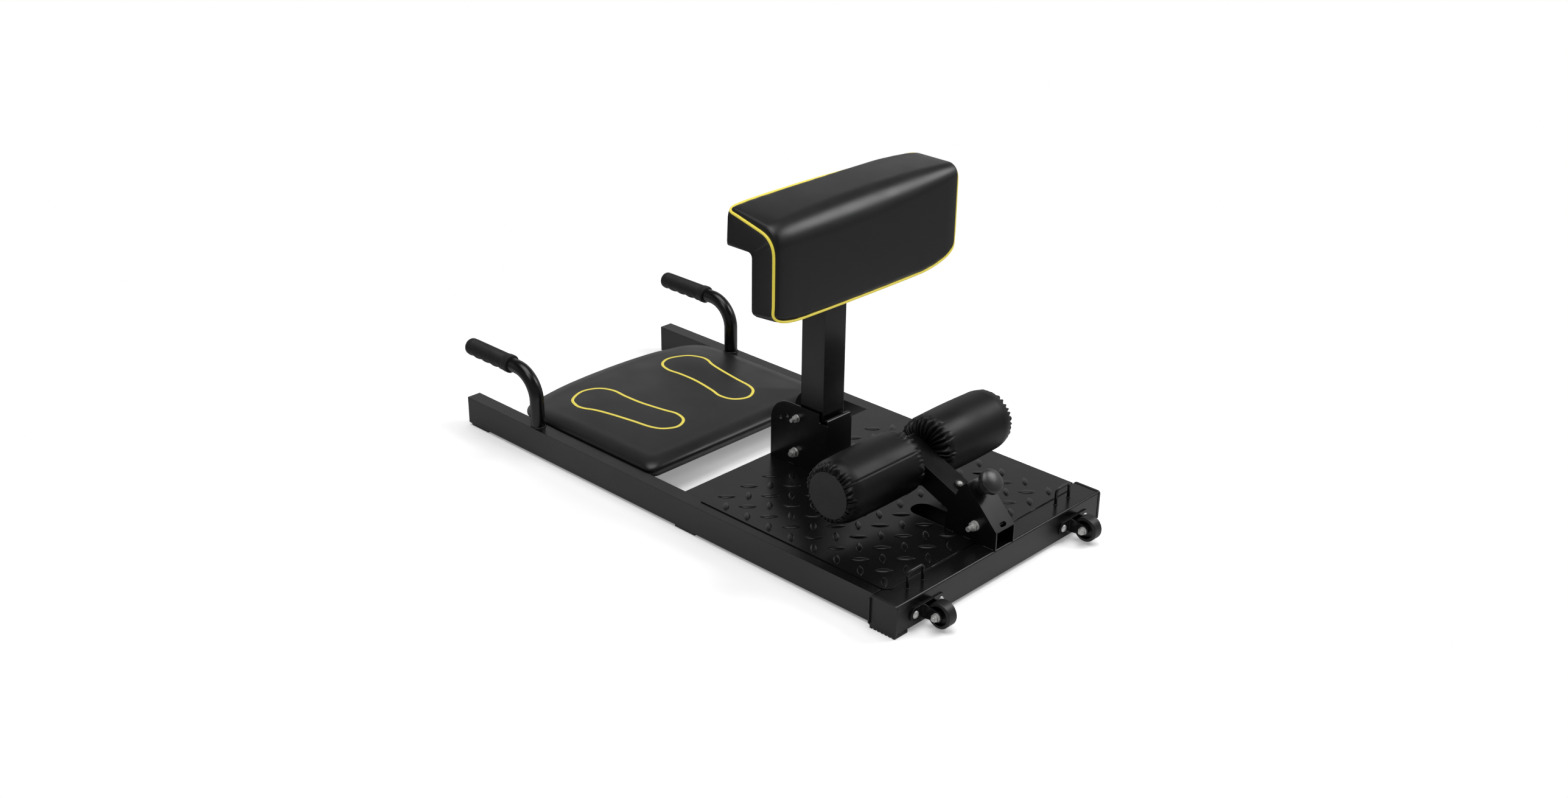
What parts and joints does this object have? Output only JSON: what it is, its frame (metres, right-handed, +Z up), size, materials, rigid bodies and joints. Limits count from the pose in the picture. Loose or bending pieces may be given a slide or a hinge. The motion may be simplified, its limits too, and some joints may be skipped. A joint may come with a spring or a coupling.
{
  "type": "squat machine",
  "caption": "Floor-standing squat machine with padded foot rollers on a pivoting arm, a calf pad on a post, a tread platform and a push-up pad between hand grips.",
  "frame": {"origin": "middle of the floor under the whole machine", "axes": "+X to the right seen from the front, +Y from the platform towards the hand grips, +Z up"},
  "size_m": [0.624, 1.2894, 0.6747],
  "materials": {
    "powder_coat": "satin",
    "black_plastic": "satin",
    "grey_plastic": "matt",
    "black_rubber": "matt",
    "zinc_steel": "bright",
    "black_vinyl": "satin",
    "plywood": "raw",
    "yellow_trim": "satin"
  },
  "bodies": {
    "frame": {"front_beam": "powder_coat", "left_rail": "powder_coat", "right_rail": "powder_coat", "rail_end_plates": "powder_coat", "platform_cross_tube": "powder_coat", "platform_stiffeners": "powder_coat", "tread_plate": "powder_coat", "pad_cross_tubes": "powder_coat", "left_handle_tube": "powder_coat", "right_handle_tube": "powder_coat", "arm_bracket": "powder_coat", "post_bracket": "powder_coat", "left_band_loop": "powder_coat", "right_band_loop": "powder_coat", "left_wheel_bracket": "powder_coat", "right_wheel_bracket": "powder_coat", "left_beam_cap": "black_plastic", "right_beam_cap": "black_plastic", "arm_pin_boss": "black_plastic", "rail_feet": "black_rubber", "left_grip": "black_rubber", "right_grip": "black_rubber", "push_up_pad_screws": "zinc_steel", "arm_pivot_bolt": "zinc_steel", "arm_pivot_nut": "zinc_steel", "arm_pin_spring": "zinc_steel", "post_pivot_bolt": "zinc_steel", "post_pivot_nut": "zinc_steel", "post_stop_bolt": "zinc_steel", "post_stop_nut": "zinc_steel", "wheel_bracket_screws": "zinc_steel", "left_wheel_bolt": "zinc_steel", "right_wheel_bolt": "zinc_steel", "left_wheel_nut": "zinc_steel", "right_wheel_nut": "zinc_steel", "push_up_pad": "black_vinyl", "push_up_pad_board": "plywood"},
    "roller_arm": {"roller_arm": "powder_coat", "arm_end_plug": "black_plastic", "arm_stop_bumper": "black_rubber", "arm_stop_screw": "zinc_steel", "roller_cross_tube": "powder_coat", "roller_washers": "black_plastic"},
    "left_roller": {"left_roller_core": "grey_plastic", "left_roller": "black_vinyl"},
    "right_roller": {"right_roller_core": "grey_plastic", "right_roller": "black_vinyl"},
    "pull_pin": {"arm_pin": "zinc_steel", "arm_knob": "black_plastic"},
    "post": {"post_tube": "powder_coat", "post_hinge_sleeve": "powder_coat", "post_end_plug": "black_plastic", "calf_pad_bracket": "powder_coat", "calf_pad_board": "plywood", "calf_pad": "black_vinyl", "calf_pad_screws": "zinc_steel"},
    "left_wheel": {"left_wheel": "black_plastic"},
    "right_wheel": {"right_wheel": "black_plastic"}
  },
  "joints": [
    {"name": "arm_swing", "type": "hinge", "parent": "frame", "child": "roller_arm", "pos_m": [0, -0.53625, 0.1015], "axis": [1, 0, 0], "range_deg": [0, 23]},
    {"name": "left_roller_spin", "type": "hinge", "parent": "roller_arm", "child": "left_roller", "pos_m": [0, -0.3582, 0.17598], "axis": [1, 0, 0], "continuous": true},
    {"name": "right_roller_spin", "type": "hinge", "parent": "roller_arm", "child": "right_roller", "pos_m": [0, -0.3582, 0.17598], "axis": [1, 0, 0], "continuous": true},
    {"name": "arm_pin_pull", "type": "slide", "parent": "frame", "child": "pull_pin", "axis": [0, -0.7231, 0.6907], "range_m": [0, 0.01], "stiffness_N_per_m": 400, "springref_m": -0.02, "deforming": ["arm_pin_spring"]},
    {"name": "post_tilt", "type": "hinge", "parent": "frame", "child": "post", "pos_m": [0, -0.08475, 0.097], "axis": [1, 0, 0], "range_deg": [0, 3.8]},
    {"name": "left_wheel_spin", "type": "hinge", "parent": "frame", "child": "left_wheel", "pos_m": [-0.222, -0.61975, 0.031], "axis": [1, 0, 0], "continuous": true},
    {"name": "right_wheel_spin", "type": "hinge", "parent": "frame", "child": "right_wheel", "pos_m": [0.222, -0.61975, 0.031], "axis": [1, 0, 0], "continuous": true}
  ]
}
